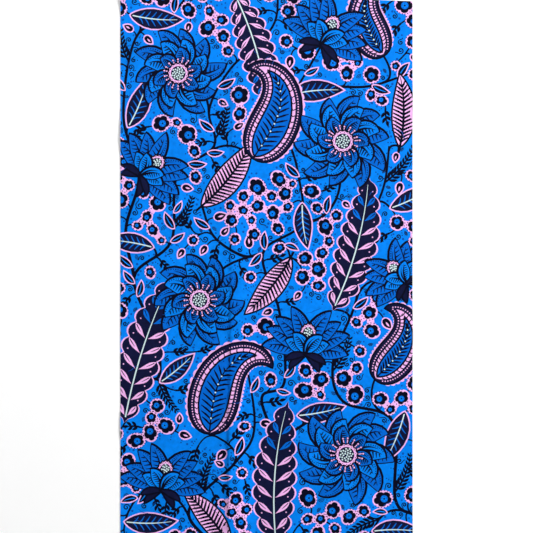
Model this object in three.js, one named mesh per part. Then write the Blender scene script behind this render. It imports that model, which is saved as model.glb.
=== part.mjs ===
// A length of wax print cotton, laid flat on a table: one rectangular cut with raw edges,
// a crease along it from the fold of the bolt, and edges that lift a little here and there.
// Millimetres, +Z up. X runs across the cut, from its left side to its right, and Y along it.
// The origin is the middle of the footprint's bounding box, on the plane that the cloth rests on.
import * as THREE from "three";

// ---- Driving dimensions ---------------------------------------------------------------------
const CUT_WIDTH = 490; // from side to side
const CUT_LENGTH = 914.4; // along the middle of the cut: one yard
const TOP_SLANT = 19; // the shears ran askew: the left side is longer than the right by this much
const WALL = 1; // thickness of the cloth
const GRID_STEP = 36; // widest spacing of the wall's points where the cloth lies flat
const LEAST_STEP = 3; // even lines of points stay at least this far from the crease's own

const LEFT = -CUT_WIDTH / 2;
const RIGHT = CUT_WIDTH / 2;
const BOTTOM = -(CUT_LENGTH + TOP_SLANT / 2) / 2;
const TOP_LEFT = BOTTOM + CUT_LENGTH + TOP_SLANT / 2;

// The mark of the bolt's fold. It runs the length of the cloth, along a straight line on the plan, and
// dies away towards the top. From the left the cloth climbs softly over `left`, then turns up over the
// narrow `edge`, which takes `edgeShare` of the rise, and from its crest it sinks away over `right`.
const CREASE = {
  from: [-63.5, BOTTOM],
  to: [-53, TOP_LEFT],
  rise: [3.1, 0.4],
  left: 26,
  edge: 5.2,
  edgeShare: 0.7,
  right: 50,
};

// Where else the cloth leaves the table. Each row is a soft ridge along a straight line on the plan,
// from one point to another. Its crest is rise[0] above the table at the first point and rise[1]
// at the last, and it dies away to nothing at `reach` on either side of the line.
const FOLDS = [
  { name: "bottom_swell", from: [34, BOTTOM], to: [22, -318], reach: 66, rise: [2.4, 0] },
  { name: "left_edge_high", from: [LEFT, 214], to: [-158, 199], reach: 40, rise: [1.2, 0] },
  { name: "left_edge_low", from: [LEFT, -268], to: [-176, -281], reach: 36, rise: [0.9, 0] },
  { name: "right_edge_high", from: [RIGHT, 288], to: [171, 268], reach: 38, rise: [1.9, 0] },
  { name: "right_edge_low", from: [RIGHT, -112], to: [148, -130], reach: 46, rise: [2.6, 0] },
  { name: "top_edge", from: [62, 456], to: [74, 377], reach: 42, rise: [2.1, 0] },
  { name: "top_left_corner", from: [LEFT, TOP_LEFT], to: [-212, 425], reach: 34, rise: [3.1, 0] },
  { name: "bottom_right_corner", from: [RIGHT, BOTTOM], to: [207, -424], reach: 34, rise: [2.7, 0] },
];

// ---- The cloth's shape ----------------------------------------------------------------------

/** Length of the cut at x: the bottom edge is square to the sides, and the top edge slants. */
function lengthAt(x) {
  return CUT_LENGTH - TOP_SLANT * (x / CUT_WIDTH);
}

/** A soft climb from 0 to 1. */
function swell(share) {
  return 0.5 - 0.5 * Math.cos(Math.PI * THREE.MathUtils.clamp(share, 0, 1));
}

/** Share of the way along the crease at y. */
function creaseShare(y) {
  return THREE.MathUtils.clamp((y - CREASE.from[1]) / (CREASE.to[1] - CREASE.from[1]), 0, 1);
}

/** Where the crease's crest is at y. */
function crestAt(y) {
  return THREE.MathUtils.lerp(CREASE.from[0], CREASE.to[0], creaseShare(y));
}

/** Height of the bolt's crease over the point (x, y). */
function creaseHeight(x, y) {
  const right = x - crestAt(y);
  const climb =
    (1 - CREASE.edgeShare) * swell(1 + right / CREASE.left) + CREASE.edgeShare * swell(1 + right / CREASE.edge);
  const rise = THREE.MathUtils.lerp(CREASE.rise[0], CREASE.rise[1], creaseShare(y));
  return rise * (right < 0 ? climb : 1 - swell(right / CREASE.right));
}

/** Height of one fold over the point (x, y). */
function foldHeight({ from, to, reach, rise }, x, y) {
  const along = [to[0] - from[0], to[1] - from[1]];
  const offset = [x - from[0], y - from[1]];
  const lengthSquared = along[0] ** 2 + along[1] ** 2;
  const share = THREE.MathUtils.clamp((offset[0] * along[0] + offset[1] * along[1]) / lengthSquared, 0, 1);
  const distance = Math.hypot(offset[0] - share * along[0], offset[1] - share * along[1]);
  if (distance >= reach) return 0;
  const crest = THREE.MathUtils.lerp(rise[0], rise[1], share);
  return crest * (1 - swell(distance / reach));
}

/** How far the underside of the cloth stands off the table at (x, y): the highest fold there. */
function liftAt(x, y) {
  return Math.max(creaseHeight(x, y), ...FOLDS.map((fold) => foldHeight(fold, x, y)));
}

/** Evenly spaced values from low to high, no further apart than the grid step. */
function evenStations(low, high) {
  const steps = Math.ceil((high - low) / GRID_STEP);
  return Array.from({ length: steps + 1 }, (_, i) => low + ((high - low) * i) / steps);
}

/** The lines of points at y: an even spacing, and closer lines that follow the bolt's crease. */
function stationsAcross(y) {
  const { from, to, left, edge, right } = CREASE;
  const offsets = [-left, -left / 2, -edge, -edge / 2, 0, right / 3, (2 * right) / 3, right];
  const clear = (x) => x < from[0] - left - LEAST_STEP || x > to[0] + right + LEAST_STEP;
  const coarse = evenStations(LEFT, RIGHT).filter(clear);
  const fine = offsets.map((offset) => crestAt(y) + offset);
  return [...coarse, ...fine].sort((a, b) => a - b);
}

/** One section across the cloth at a share of the way up it, as points [x, y, height off the table]. */
function section(share) {
  return stationsAcross(BOTTOM + share * CUT_LENGTH).map((x) => {
    const y = BOTTOM + share * lengthAt(x);
    return [x, y, liftAt(x, y)];
  });
}

// ---- The wall -------------------------------------------------------------------------------

/** A closed wall over a grid of points: the underside, the upper face and the four cut edges. */
function wallGeometry(rows, thickness) {
  const across = rows[0].length;
  const up = rows.length;
  const layer = across * up;
  const under = rows.flat();
  const upper = under.map(([x, y, z]) => [x, y, z + thickness]);
  const at = (i, j) => j * across + i;

  const faces = [];
  const quad = (a, b, c, d) => faces.push(a, b, c, a, c, d);
  for (let j = 0; j < up - 1; j += 1) {
    for (let i = 0; i < across - 1; i += 1) {
      const corners = [at(i, j), at(i + 1, j), at(i + 1, j + 1), at(i, j + 1)];
      quad(...corners.map((k) => k + layer));
      quad(...corners.reverse());
    }
  }

  const rim = [];
  for (let i = 0; i < across - 1; i += 1) rim.push(at(i, 0));
  for (let j = 0; j < up - 1; j += 1) rim.push(at(across - 1, j));
  for (let i = across - 1; i > 0; i -= 1) rim.push(at(i, up - 1));
  for (let j = up - 1; j > 0; j -= 1) rim.push(at(0, j));
  rim.forEach((a, n) => {
    const b = rim[(n + 1) % rim.length];
    quad(a, b, b + layer, a + layer);
  });

  const geometry = new THREE.BufferGeometry();
  geometry.setAttribute("position", new THREE.Float32BufferAttribute([...under, ...upper].flat(), 3));
  geometry.setIndex(faces);
  geometry.computeVertexNormals();
  return geometry;
}

/** The printed cotton: azure ground, in a smooth waxed finish with a low sheen. */
function printedCotton() {
  return new THREE.MeshStandardMaterial({ name: "printed_cotton", color: 0x0a78dc, roughness: 0.72, metalness: 0 });
}

function clothPanel() {
  const shares = evenStations(0, CUT_LENGTH).map((length) => length / CUT_LENGTH);
  const mesh = new THREE.Mesh(wallGeometry(shares.map(section), WALL), printedCotton());
  mesh.name = "cloth_panel";
  return mesh;
}

const waxPrintLength = new THREE.Group();
waxPrintLength.name = "wax_print_length";
waxPrintLength.add(clothPanel());

export default waxPrintLength;
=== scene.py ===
# %% [markdown]
# # A length of wax print cotton
# One rectangular cut of cotton lies flat on a table. It has raw cut edges, a soft crease from the fold of
# the bolt, and a botanical print that goes right through the cloth. The print is drawn in outlines, the
# outlines become the faces of a flat cloth, the cloth is bent over its few folds and given its thickness,
# and each dye gets a woven, slightly waxy finish. Lengths are millimetres while drawing, and metres on
# the finished mesh.

# %% the frame
import math

import bpy
import numpy as np
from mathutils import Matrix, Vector, geometry
from mathutils.bvhtree import BVHTree


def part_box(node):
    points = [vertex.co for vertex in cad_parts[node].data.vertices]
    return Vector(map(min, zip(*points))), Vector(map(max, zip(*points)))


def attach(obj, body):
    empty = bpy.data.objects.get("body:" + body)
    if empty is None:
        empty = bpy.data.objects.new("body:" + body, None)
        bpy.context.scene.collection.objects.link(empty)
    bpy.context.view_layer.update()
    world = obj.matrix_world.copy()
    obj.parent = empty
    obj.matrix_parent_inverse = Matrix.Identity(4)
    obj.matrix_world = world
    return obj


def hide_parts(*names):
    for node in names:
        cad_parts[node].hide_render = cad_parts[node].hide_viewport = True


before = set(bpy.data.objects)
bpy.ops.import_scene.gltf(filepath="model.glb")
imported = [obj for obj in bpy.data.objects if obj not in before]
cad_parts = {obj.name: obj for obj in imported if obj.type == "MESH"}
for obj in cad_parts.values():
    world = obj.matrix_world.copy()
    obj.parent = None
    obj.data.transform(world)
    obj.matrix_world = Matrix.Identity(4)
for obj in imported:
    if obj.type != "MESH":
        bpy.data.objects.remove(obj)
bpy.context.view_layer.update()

# %% the size of the cut, from the solid
MM = 0.001
low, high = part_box("cloth_panel")
LEFT_MM, BOTTOM_MM = round(low[0] / MM, 2), round(low[1] / MM, 2)
RIGHT_MM, TOP_MM = round(high[0] / MM, 2), round(high[1] / MM, 2)
TOP_SLANT = 19.0  # the shears ran askew, so the right side is this much shorter than the left
LOW_CORNERS = (LEFT_MM, BOTTOM_MM), (RIGHT_MM, BOTTOM_MM)
CORNERS = np.array([*LOW_CORNERS, (RIGHT_MM, TOP_MM - TOP_SLANT), (LEFT_MM, TOP_MM)])
CUT_WIDTH = RIGHT_MM - LEFT_MM

# %% [markdown]
# ## Looking straight down
# A length of cloth is shown best from straight above, so that nothing of the print is foreshortened. A
# fairly long lens keeps the edges parallel. The camera hangs as high as it takes to see the cloth's whole
# width with some table on both sides; the two ends run out of the frame.

# %% the camera
LENS = 62.0
SENSOR = 36.0
VIEW_WIDTH = 0.8944  # metres of table from one side of the frame to the other
VIEW_MIDDLE = (0.0, -0.002)

camera_data = bpy.data.cameras.new("camera")
camera_data.lens = LENS
camera_data.sensor_width = SENSOR
camera = bpy.data.objects.new("camera", camera_data)
camera.location = (*VIEW_MIDDLE, VIEW_WIDTH * LENS / SENSOR)
bpy.context.scene.collection.objects.link(camera)
bpy.context.scene.camera = camera
print(f"the camera hangs {camera.location.z:.2f} m above the table")

# %% [markdown]
# ## The dyes
# A wax print is built up in a few flat dyes: an azure ground, flowers in a deeper blue, wax lines and
# leaves in an indigo so strong that it reads as black, and pink and pale mint in the places that the wax
# kept white. They are written as the 0 to 255 steps of a screen, which are easy to mix by eye, and turned
# into light later.

# %% the dyes
DYES = {
    "azure": (0, 133, 247),
    "petal_blue": (0, 106, 218),
    "deep_blue": (6, 80, 176),
    "indigo": (17, 21, 58),
    "line": (5, 7, 30),
    "pink": (250, 189, 247),
    "mint": (212, 236, 240),
}
print("dyes:", ", ".join(DYES))

# %% [markdown]
# ## Drawing before sewing
# A print painted as a picture goes soft when somebody looks closely. Here each mark stays an outline in
# millimetres, with its dye and the layer it lies in, and later the outlines become the edges of the
# cloth's own faces. The layers run from the ground up, in the order in which they cover.

# %% the list of marks
LAYERS = ("ground", "wood", "halo", "berry_bloom", "leaf", "paisley", "bloom", "crackle")
marks = []


def mark(layer, dye, outline, fine=False):
    """Adds one closed outline. A fine mark is left off the underside of the cloth."""
    marks.append((LAYERS.index(layer), dye, np.asarray(outline, float), fine))


def chance(seed):
    """A seeded source of small irregularities, so that every run draws the same cloth."""
    return np.random.default_rng(seed)


def toward(degrees):
    """The unit step in a direction on the cloth."""
    return np.array([math.cos(math.radians(degrees)), math.sin(math.radians(degrees))])


def bearing(step):
    """The direction of a step, in degrees."""
    return math.degrees(math.atan2(step[1], step[0]))


def unit(steps):
    """Each row scaled to length 1."""
    return steps / np.maximum(np.linalg.norm(steps, axis=1, keepdims=True), 1e-9)


def anticlockwise(outline):
    """Whether a closed outline runs anticlockwise."""
    x, y = outline.T
    return np.sum(x * np.roll(y, -1) - y * np.roll(x, -1)) > 0


def run_along(path):
    """How far along a path each of its points lies."""
    return np.concatenate([[0], np.cumsum(np.linalg.norm(np.diff(path, axis=0), axis=1))])


# %% [markdown]
# ## Keeping an eye on the bare ground
# A crowded print is laid out from the largest motif to the smallest, each in ground that is still free.
# A coarse map holds the distance from every spot of the cloth to the nearest thing drawn, so finding room
# for a bud is only a matter of reading it.

# %% the map of free ground
MAP_CELL = 2.0
MAP_EDGE = 12.0  # how far the map runs past the cloth
PAST_CUT = 6.0  # small motifs may lie this far past the cut edges, which slice through them
UNTOUCHED = 1000.0
map_x = np.arange(LEFT_MM - MAP_EDGE, RIGHT_MM + MAP_EDGE, MAP_CELL)
map_y = np.arange(BOTTOM_MM - MAP_EDGE, TOP_MM + MAP_EDGE, MAP_CELL)
free_room = np.full((len(map_y), len(map_x)), UNTOUCHED)
on_cloth = (np.abs(map_x)[None, :] < RIGHT_MM + PAST_CUT) & (np.abs(map_y)[:, None] < TOP_MM + PAST_CUT)
print("map of free ground:", free_room.shape)


def keep_clear(x, y, radius):
    """Notes a disc that is taken; free_room holds each place's distance to the nearest taken disc."""
    away = np.hypot(map_x[None, :] - x, map_y[:, None] - y) - radius
    np.minimum(free_room, away, out=free_room)


def room_at(x, y):
    """The room round a place, or less than nothing if it is off the map."""
    i = int(round((x - map_x[0]) / MAP_CELL))
    j = int(round((y - map_y[0]) / MAP_CELL))
    inside = 0 <= i < len(map_x) and 0 <= j < len(map_y)
    return free_room[j, i] if inside else -1.0


def places_with_room(least):
    """Every place on the map with at least this much room."""
    j, i = np.nonzero((free_room >= least) & on_cloth)
    return np.stack([map_x[i], map_y[j]], axis=1)


# %% [markdown]
# ## Lines with a direction
# Leaves, petals and paisleys all follow a line that bends. One helper makes it from a start, a heading and
# a turn, and then places any point by its share along the line and its distance to the left of it, so
# that everything drawn along the line bends with it.

# %% a bending line
LINE_STEPS = 48


def bending_line(start, heading, length, turn=0.0, late=1.0):
    """at(share, left): the line starts at `start`, sets off at `heading` degrees and turns by `turn`
    degrees over its length, evenly if late is 1 and mostly near its end if late is more."""
    share = np.linspace(0, 1, LINE_STEPS + 1)
    way = np.radians(heading + turn * share**late)
    middle = (way[1:] + way[:-1]) / 2
    x = start[0] + np.concatenate([[0], np.cumsum(np.cos(middle))]) * length / LINE_STEPS
    y = start[1] + np.concatenate([[0], np.cumsum(np.sin(middle))]) * length / LINE_STEPS

    def at(s, left=0.0):
        s, left = np.broadcast_arrays(np.asarray(s, float), np.asarray(left, float))
        direction = np.interp(s, share, way)
        past = np.where(s > 1, s - 1, np.where(s < 0, s, 0)) * length
        px = np.interp(s, share, x) + past * np.cos(direction) - left * np.sin(direction)
        py = np.interp(s, share, y) + past * np.sin(direction) + left * np.cos(direction)
        return np.stack([px, py], axis=-1)

    return at


def smooth_line(points, per_span=9):
    """A smooth curve through a few points (Catmull-Rom)."""
    p = np.asarray(points, float)
    p = np.concatenate([[2 * p[0] - p[1]], p, [2 * p[-1] - p[-2]]])
    t = np.linspace(0, 1, per_span, endpoint=False)[:, None]
    spans = []
    for a, b, c, d in zip(p, p[1:], p[2:], p[3:]):
        bent = (2 * a - 5 * b + 4 * c - d) * t**2 + (3 * b - a - 3 * c + d) * t**3
        spans.append(0.5 * (2 * b + (c - a) * t + bent))
    return np.concatenate(spans + [p[-2:-1]])


# %% strokes, dots and swollen outlines
SHARPEST = 2.2  # how many times its distance a swollen outline may move out at a point
DYE_CREEP = 1.35  # dye creeps under the wax, so that a line prints this much bolder than it is cut


def stroke(path, width, ends=(0.25, 0.25)):
    """A drawn line: full width in its middle, and this share of the width at its two ends."""
    path = np.asarray(path, float)
    run = unit(np.gradient(path, axis=0))
    side = np.stack([-run[:, 1], run[:, 0]], axis=1)
    share = np.interp(np.linspace(0, 1, len(path)), [0, 0.5, 1], [ends[0], 1, ends[1]])
    half = share[:, None] * width * DYE_CREEP / 2
    return np.concatenate([path + side * half, (path - side * half)[::-1]])


def dot(centre, radius, sides=6, squash=1.0, angle=0.0):
    """A round dot, or an oval one if it is squashed."""
    turn = np.linspace(0, 2 * np.pi, sides, endpoint=False)
    c, s = toward(angle)
    x, y = radius * np.cos(turn), radius * squash * np.sin(turn)
    return np.stack([centre[0] + c * x - s * y, centre[1] + s * x + c * y], axis=1)


def swollen(outline, by):
    """The outline moved outwards, with its points kept sharp; a negative distance moves it inwards."""
    p = np.asarray(outline, float)
    ahead, behind = np.roll(p, -1, axis=0) - p, p - np.roll(p, 1, axis=0)
    outward = 1 if anticlockwise(p) else -1
    run = unit(ahead) + unit(behind)
    n = np.stack([run[:, 1], -run[:, 0]], axis=1) * outward
    size = np.linalg.norm(n, axis=1, keepdims=True)
    n = n / np.maximum(size, 1e-9)
    return p + n * by * np.minimum(2 / np.maximum(size, 1e-9), SHARPEST)


# %% leaf and petal outlines
def leaf_width(half, belly=1.0, point=0.9):
    """Half the width of a leaf along its midrib. belly under 1 puts the widest place nearer its foot."""
    return lambda s: half * np.sin(np.pi * np.clip(s, 0, 1) ** belly) ** point


def narrowed(width, by):
    """The same leaf inside a border, with the shares of the midrib where it starts and ends."""
    s = np.linspace(0, 1, 201)
    inside = s[width(s) > by]
    return (lambda t: np.maximum(width(t) - by, 0)), inside[0], inside[-1]


def clear_along(at, width, gap, count):
    """Keeps the ground clear of a leaf and so far past its edges."""
    for s in np.linspace(0.05, 0.95, count):
        keep_clear(*at(s), width(s) + gap)


def blade(at, width, low=0.0, high=1.0, points=13):
    """A closed leaf outline: up one side of the midrib and back down the other."""
    s = low + (high - low) * (0.5 - 0.5 * np.cos(np.linspace(0, np.pi, points)))
    return np.concatenate([at(s, -width(s)), at(s[::-1], width(s[::-1]))[1:-1]])


def lobed_blade(at, width, lobes, depth, low=0.02, high=0.98, steps=4):
    """A leaf outline with so many rounded lobes a side."""
    s = np.linspace(low, high, steps * lobes + 1)
    out = depth * np.sin(np.pi * (np.arange(len(s)) % steps) / steps) ** 0.7
    ends = at(np.array([-0.01, 1.02]))
    return np.concatenate([ends[:1], at(s, -width(s) - out), ends[1:], at(s[::-1], (width(s) + out)[::-1])])

# %% [markdown]
# ## The motifs
# The cloth carries a garden of its own: round many-petalled blooms with seeded pink hearts, lotus cups
# seen from the side, curled paisleys, long lobed leaves set with drops, ribbed pink leaves, dark veined
# leaves, ferns, and well over a hundred little five-petalled blossoms in pink haloes. Each kind is one
# short function that draws from the back to the front: the wax line, the shape in its dye, then the veins,
# hatching and dots.

# %% how a carver shades
OUTLINE = 2.9  # the wax line round every large shape
CARVER_PUSH = 1.2  # an outline cut by hand is bolder on one side
RAY_SPACING = 4.3
COMB_STROKES = 7
BARB_LEAN = 0.055  # how far towards the tip a barb ends, as a share of the midrib
SHORTEST_BARB = 1.5  # millimetres


def outlined(layer, dye, body, by=OUTLINE):
    """A shape in its dye, over a wax line that sticks out this far all round."""
    mark(layer, "line", swollen(body, by))
    mark(layer, dye, body)


def vein(layer, dye, at, low, high, points, width, ends, fine=False):
    """A line along the middle, from one share of it to another."""
    mark(layer, dye, stroke(at(np.linspace(low, high, points)), width, ends), fine)


def leaflet(layer, dye, start, heading, length, turn, half, belly=1.0, points=6):
    """A small plain leaf."""
    at = bending_line(start, heading, length, turn)
    mark(layer, dye, blade(at, leaf_width(half, belly), points=points))


def comb(at, width, thickness, side):
    """Short strokes on one side of a petal's midrib, all leaning towards its tip."""
    for n, s in enumerate(np.linspace(0.24, 0.8, COMB_STROKES)):
        reach = 0.78 * (0.55 + 0.45 * math.sin(math.pi * (n + 0.5) / COMB_STROKES))
        path = np.stack([at(s), at(s + 0.06, side * reach * width(s))])
        mark("bloom", "line", stroke(path, thickness, (1, 0.35)), fine=True)


def dots_along(path, dye, radius, spacing, layer, sides=6):
    """Evenly spaced dots along a drawn path."""
    along = run_along(path)
    for d in np.arange(spacing / 2, along[-1], spacing):
        spot = (np.interp(d, along, path[:, 0]), np.interp(d, along, path[:, 1]))
        mark(layer, dye, dot(spot, radius, sides), fine=True)


def trim(at, width, inset, dye, radius, spacing, layer, low_edge=0.03, high_edge=0.97):
    """A row of dots inside the edge of a leaf, along both sides."""
    line, low, high = narrowed(width, inset)
    s = np.linspace(max(low, low_edge), min(high, high_edge), 120)
    for side in (1, -1):
        dots_along(at(s, side * line(s)), dye, radius, spacing, layer)


def feathered(at, width, low, high, count, layer):
    """Slanted barbs from the midrib to the edge on both sides, as in a feather."""
    vein(layer, "line", at, low, high, 9, 1.8, (1, 0.4))
    for s in np.linspace(low + 0.05, high - 0.1, count):
        reach = 0.86 * width(s + BARB_LEAN)
        if reach < SHORTEST_BARB:
            continue
        for side in (1, -1):
            bent = at(s + BARB_LEAN * 0.6, side * 0.55 * reach)
            path = np.stack([at(s, side * 0.5), bent, at(s + BARB_LEAN, side * reach)])
            mark(layer, "line", stroke(path, 2.5, (0.7, 0.35)), fine=True)


def ray_of_dots(start, length, angle, turn=0.0):
    """A row of dots that runs out from a bloom over the ground."""
    at = bending_line(start, angle, length, turn)
    for s in np.arange(0, 1.0001, RAY_SPACING / length):
        mark("ground", "indigo", dot(at(s), 1.1, 5), fine=True)


# %% a petal with its veins
SHADED_HALF = 13.0  # petals narrower than this are shaded with thinner lines
STIPPLED_HALF = 11.0  # only petals wider than this have a row of dots inside their edge
STIPPLE_OUT = 0.78  # where that row lies, as a share of the half width
SHADING = (
    # how far out, from, to, thickness
    (0.12, 0.02, 0.88, 3.3),
    (0.55, 0.05, 0.74, 2.7),
)


def petal(start, heading, length, half, turn, dye="petal_blue", shaded=1):
    """shaded is the side of the petal that turns away, 1 for its left, -1 for its right, 0 for neither."""
    at = bending_line(start, heading, length, turn, late=1.3)
    width = leaf_width(half, 1.15, 0.8)
    body = blade(at, width)
    mark("bloom", "line", swollen(body, OUTLINE) + CARVER_PUSH * (at(0.5, -shaded) - at(0.5)))
    mark("bloom", dye, body)
    if shaded:
        bold = min(1.0, half / SHADED_HALF)
        for out, low, high, thick in SHADING:
            s = np.linspace(low, high, 7)
            path = at(s, -shaded * out * width(s))
            mark("bloom", "line", stroke(path, thick * bold, (1.1, 0.12)), fine=True)
        comb(at, width, 2.1 * bold, shaded)
        if half > STIPPLED_HALF:
            s = np.linspace(0.3, 0.9, 30)
            dots_along(at(s, -shaded * STIPPLE_OUT * width(s)), "line", 1.1, 4.0, "bloom", 5)


# %% a seeded heart
GOLDEN_TURN = 137.508  # degrees from one seed to the next, as on a sunflower
SCALLOPS = 15


def seeded_heart(centre, radius, seeds=26, squash=1.0, angle=0.0):
    """A pink scalloped cushion with an indigo middle, sown with pale seeds in a spiral."""
    c, s = toward(angle)

    def put(r, degrees):
        x, y = r * math.cos(math.radians(degrees)), r * squash * math.sin(math.radians(degrees))
        return np.array([centre[0] + c * x - s * y, centre[1] + s * x + c * y])

    turns = np.arange(SCALLOPS * 3) * 360 / (SCALLOPS * 3)
    rim = np.array([put(radius * (1 + 0.1 * (n % 3 == 1)), t) for n, t in enumerate(turns)])
    outlined("bloom", "pink", rim, OUTLINE * 0.8)
    mark("bloom", "indigo", dot(centre, radius * 0.8, 20, squash, angle))
    for n in range(seeds):
        r = radius * 0.7 * math.sqrt((n + 0.5) / seeds)
        mark("bloom", "mint", dot(put(r, n * GOLDEN_TURN), 1.6, 6), fine=True)
    for n in range(SCALLOPS):
        mark("bloom", "line", dot(put(radius * 0.95, (n + 0.33) * 360 / SCALLOPS), 0.9, 5), fine=True)


# %% a round bloom, seen from above
BLOOM_RINGS = (
    # petals, reach, half width, shift round the ring, dye
    (10, 1.0, 0.19, 0.0, "petal_blue"),
    (8, 0.75, 0.18, 0.5, "azure"),
    (6, 0.5, 0.155, 0.2, "petal_blue"),
)
SWIRL = 56  # degrees that a petal turns over its length
STAMENS = 18
RAYS = 26


def round_bloom(x, y, size, angle, seed):
    """Rings of petals that all swirl the same way, rays of dots, stamens, and a heart on top."""
    vary = chance(seed)
    swirl = SWIRL if seed % 2 else -SWIRL
    middle = np.array([x, y], float)
    for count, reach, half, shift, dye in BLOOM_RINGS:
        for n in range(count):
            heading = angle + 360 * (n + shift) / count + vary.uniform(-5, 5)
            length = size * reach * vary.uniform(0.9, 1.06)
            turn = swirl * vary.uniform(0.7, 1.5)
            foot = middle + toward(heading) * size * 0.1
            petal(foot, heading - turn * 0.4, length, size * half, turn, dye, shaded=1 if swirl > 0 else -1)
    for heading in angle + np.arange(RAYS) * 360 / RAYS:
        ray_of_dots(middle + size * toward(heading), size * 0.3, heading, 10)
    for n in range(STAMENS):
        way = toward(angle + n * 360 / STAMENS + vary.uniform(-4, 4))
        tip = middle + way * size * vary.uniform(0.31, 0.38)
        mark("bloom", "line", stroke([middle, tip], 2.8, (1, 1)))
        mark("bloom", "pink", stroke([middle, tip], 1.2, (1, 1)))
        mark("bloom", "line", dot(tip, 2.6, 7))
        mark("bloom", "pink", dot(tip, 1.6, 6))
    seeded_heart(middle, size * 0.215)
    keep_clear(x, y, size * 1.02)


# %% a lotus cup, seen from the side
OUTER_PETALS = (74, -74, 52, -52, 30, -30, 10, -10)  # degrees from the way the cup opens
INNER_PETALS = (38, -38, 15, -15)
SEPALS = (118, -118, 92, -92)


def lotus_cup(x, y, size, angle, seed):
    """The cup opens towards `angle`; its foot is at (x, y)."""
    vary = chance(seed)
    foot = np.array([x, y], float)
    for spread in OUTER_PETALS:
        turn = math.copysign(34, spread) * vary.uniform(0.8, 1.25)
        length = size * (1.02 - 0.0022 * abs(spread)) * vary.uniform(0.95, 1.05)
        petal(foot, angle + spread * 0.92, length, size * 0.15, turn, shaded=1 if spread > 0 else -1)
    for spread in range(-60, 61, 12):
        ray_of_dots(foot + size * 1.06 * toward(angle + spread), size * 0.26, angle + spread)
    seeded_heart(foot + toward(angle) * size * 0.4, size * 0.2, seeds=22, squash=0.72, angle=angle)
    inner_foot = foot - toward(angle) * 2
    for spread in INNER_PETALS:
        side = 1 if spread > 0 else -1
        petal(inner_foot, angle + spread, size * 0.52, size * 0.12, side * 46, "azure", shaded=side)
    for spread in SEPALS:
        turn = math.copysign(-40, spread)
        petal(foot, angle + spread, size * 0.42, size * 0.055, turn, "indigo", shaded=0)
    keep_clear(*(foot + toward(angle) * size * 0.5), size * 0.6)


# %% a curled paisley
DOTS_IN, BAND_IN, HEART_IN = 5.2, 9.5, 17.5  # millimetres in from its edge
BAR = ((0, 0.8), (-0.012, -4), (0.006, -7))  # a bar of its border: on along the midrib, out past the band


def paisley(x, y, length, angle, curl):
    """(x, y) is its round foot and angle the way it sets off, before its tip curls over."""
    at = bending_line((x, y), angle - curl * 22, length, curl * 150, late=2.6)
    half = length * 0.2
    width = leaf_width(half, 0.58, 0.78)
    body = blade(at, width, points=25)
    mark("paisley", "pink", lobed_blade(at, leaf_width(half + 3.6, 0.58, 0.72), lobes=20, depth=3.2))
    outlined("paisley", "indigo", body)
    trim(at, width, DOTS_IN, "pink", radius=1.25, spacing=4.4, layer="paisley")
    band, low, high = narrowed(width, BAND_IN)
    mark("paisley", "pink", blade(at, band, low, high, 21))
    for s in np.linspace(low + 0.06, high - 0.08, 19):
        for side in (1, -1):
            bar = [at(s + on, side * (band(s) + out)) for on, out in BAR]
            mark("paisley", "line", stroke(bar, 1.5, (0.9, 0.4)), fine=True)
    inner, low, high = narrowed(width, HEART_IN)
    outlined("paisley", "petal_blue", blade(at, inner, low, high, 19))
    feathered(at, inner, low, high, count=15, layer="paisley")
    for s in np.linspace(low + 0.1, high - 0.12, 9):
        mark("paisley", "mint", dot(at(s), 1.5, 6), fine=True)
    clear_along(at, width, gap=7, count=24)


# %% a long lobed leaf set with drops
LEAF_LOBES = 9
PINK_DROPS = 6  # pairs; the drops nearer the tip are blue


def drop_leaf(x, y, length, angle, turn):
    """A dark leaf with rounded lobes, a drop in each lobe and a pale midrib."""
    at = bending_line((x, y), angle, length, turn)
    width = leaf_width(length * 0.112, 0.9, 0.8)
    border = leaf_width(length * 0.112 + 2.4, 0.9, 0.75)
    mark("leaf", "pink", lobed_blade(at, border, LEAF_LOBES, 8.0, steps=5))
    mark("leaf", "indigo", lobed_blade(at, width, LEAF_LOBES, 7.5, steps=5))
    step = 0.96 / LEAF_LOBES
    for n in range(LEAF_LOBES - 1):
        for side in (1, -1):
            s = 0.02 + step * (n + 0.2)
            start = at(s, side * 1.8)
            tip = at(s + step * 0.62, side * (width(s + step * 0.6) + 3.2))
            span = float(np.linalg.norm(tip - start))
            drop_at = bending_line(start, bearing(tip - start), span, side * -16)
            drop = blade(drop_at, leaf_width(min(length * 0.017, span * 0.3), 1.5, 0.9), points=9)
            mark("leaf", "pink" if n < PINK_DROPS else "petal_blue", drop)
            vein("leaf", "line", drop_at, 0.45, 0.9, 4, 1.1, (0.3, 1), fine=True)
            seed_at = at(s + step * 1.08, side * (width(s + step) * 0.86 + 0.4))
            mark("leaf", "pink", dot(seed_at, 1.3, 6))
    vein("leaf", "mint", at, 0.03, 0.95, 10, 1.7, (1, 0.3))
    clear_along(at, width, gap=11, count=20)


# %% a pink ribbed leaf
RIB_SPACING = 6.6
RIB = ((0, 0), (0.04, 0.5), (0.075, 0.98))  # its bends: on along the midrib, out as a share of the width


def ribbed_leaf(x, y, length, angle, turn):
    """A pink leaf with close dark ribs and a row of dots inside its edge."""
    at = bending_line((x, y), angle, length, turn)
    width = leaf_width(length * 0.155, 0.85, 0.85)
    outlined("leaf", "pink", blade(at, width, points=17))
    for s in np.arange(0.06, 0.88, RIB_SPACING / length):
        for side in (1, -1):
            rib = [at(s + on, side * out * width(s + on)) for on, out in RIB]
            mark("leaf", "line", stroke(rib, 2.5, (1.1, 0.6)), fine=True)
    trim(at, width, length * 0.045, "line", 0.85, 5.6, "leaf", low_edge=0.1, high_edge=0.9)
    vein("leaf", "line", at, -0.1, 0.98, 10, 2.8, (1, 0.3))
    clear_along(at, width, gap=4, count=12)


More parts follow.
